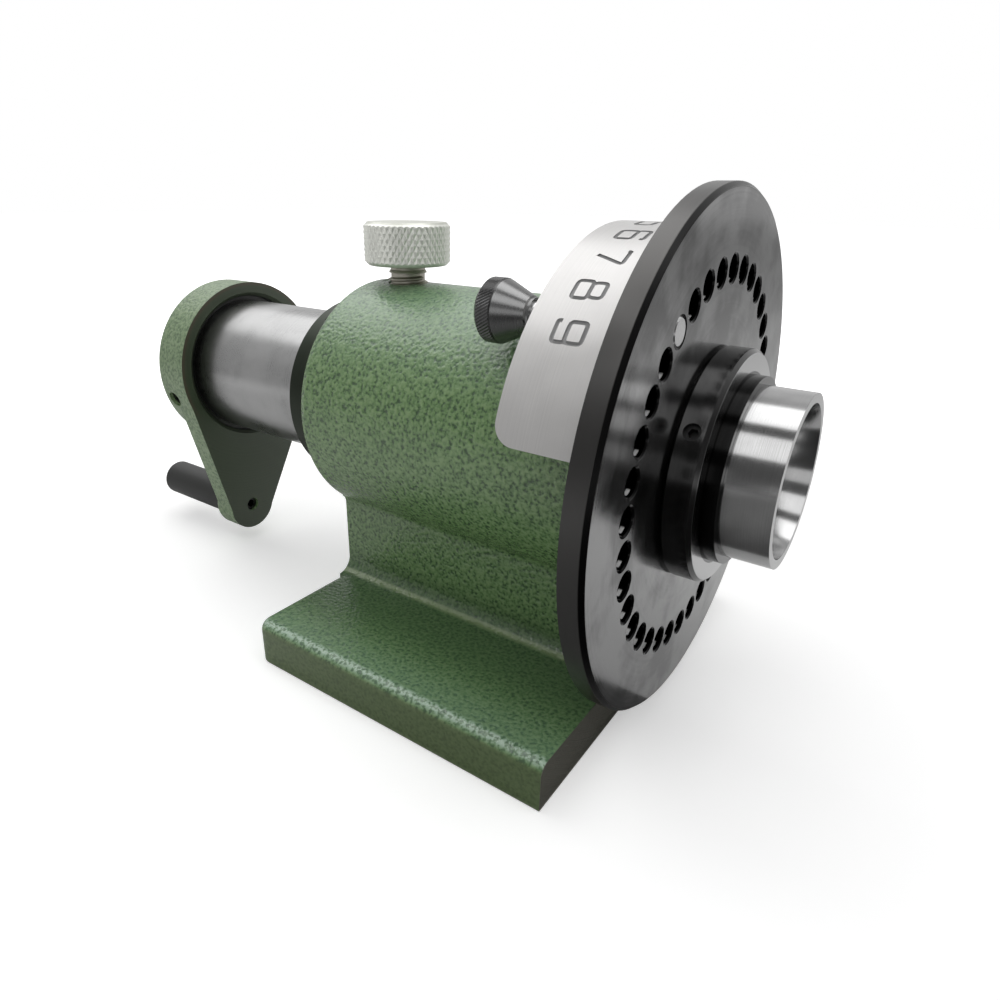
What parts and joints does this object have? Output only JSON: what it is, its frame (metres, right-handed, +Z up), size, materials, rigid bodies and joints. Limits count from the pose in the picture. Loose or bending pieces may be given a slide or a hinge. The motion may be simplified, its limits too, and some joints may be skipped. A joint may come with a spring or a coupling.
{
  "type": "spin index jig",
  "caption": "Indexing fixture with a horizontal collet spindle, pin-and-plate angle indexing, vernier quadrant, lock screw and rear draw-tube crank on a cast base.",
  "frame": {"origin": "on the bottom of the base, under the spindle axis and halfway along the body", "axes": "+X along the spindle towards its nose, +Z up from the base, +Y to the left seen from behind the crank"},
  "size_m": [0.2495, 0.1296, 0.1353],
  "materials": {
    "hammered_paint": "hammered green enamel",
    "satin_steel": "satin",
    "ground_steel": "ground",
    "turned_steel": "turned",
    "bright_steel": "bright, knurled",
    "black_oxide_plate": "black oxide, polished front",
    "black_oxide_collar": "black oxide, glossy",
    "black_knob": "black oxide, knurled",
    "black_handle": "satin black",
    "black_screws": "black oxide",
    "brass_pad": "plain"
  },
  "bodies": {
    "body": {"body_casting": "hammered_paint", "index_quadrant": "satin_steel", "quadrant_screws": "black_screws"},
    "spindle_line": {"spindle": "ground_steel", "collet_key": "black_screws", "index_plate": "black_oxide_plate", "plate_key": "ground_steel", "front_collar": "black_oxide_collar", "front_collar_screws": "black_screws", "thrust_collar": "black_oxide_collar", "thrust_collar_screws": "black_screws"},
    "crank": {"draw_tube": "turned_steel", "crank_arm": "hammered_paint", "crank_screw": "black_screws", "handle": "black_handle", "handle_screw": "black_screws"},
    "index_plunger": {"index_pin": "ground_steel", "index_knob": "black_knob"},
    "pad": {"lock_pad": "brass_pad"},
    "lock": {"lock_screw": "bright_steel"}
  },
  "joints": [
    {"name": "spindle_turn", "type": "hinge", "parent": "body", "child": "spindle_line", "pos_m": [0, 0, 0.0705], "axis": [1, 0, 0], "continuous": true},
    {"name": "crank_turn", "type": "hinge", "parent": "spindle_line", "child": "crank", "pos_m": [-0.1, 0, 0.0705], "axis": [1, 0, 0], "continuous": true},
    {"name": "index_pin_pull", "type": "slide", "parent": "body", "child": "index_plunger", "axis": [-1, 0, 0], "range_m": [0, 0.027]},
    {"name": "lock_lift", "type": "slide", "parent": "body", "child": "pad", "axis": [0, 0, 1], "range_m": [0, 0.00525]},
    {"name": "lock_turn", "type": "hinge", "parent": "pad", "child": "lock", "pos_m": [-0.0375, 0, 0.115], "axis": [0, 0, 1], "range_deg": [0, 1080]}
  ],
  "couplings": [
    {"joint": "lock_lift", "follows": "lock_turn", "m_per_rad": 0.00027852}
  ]
}
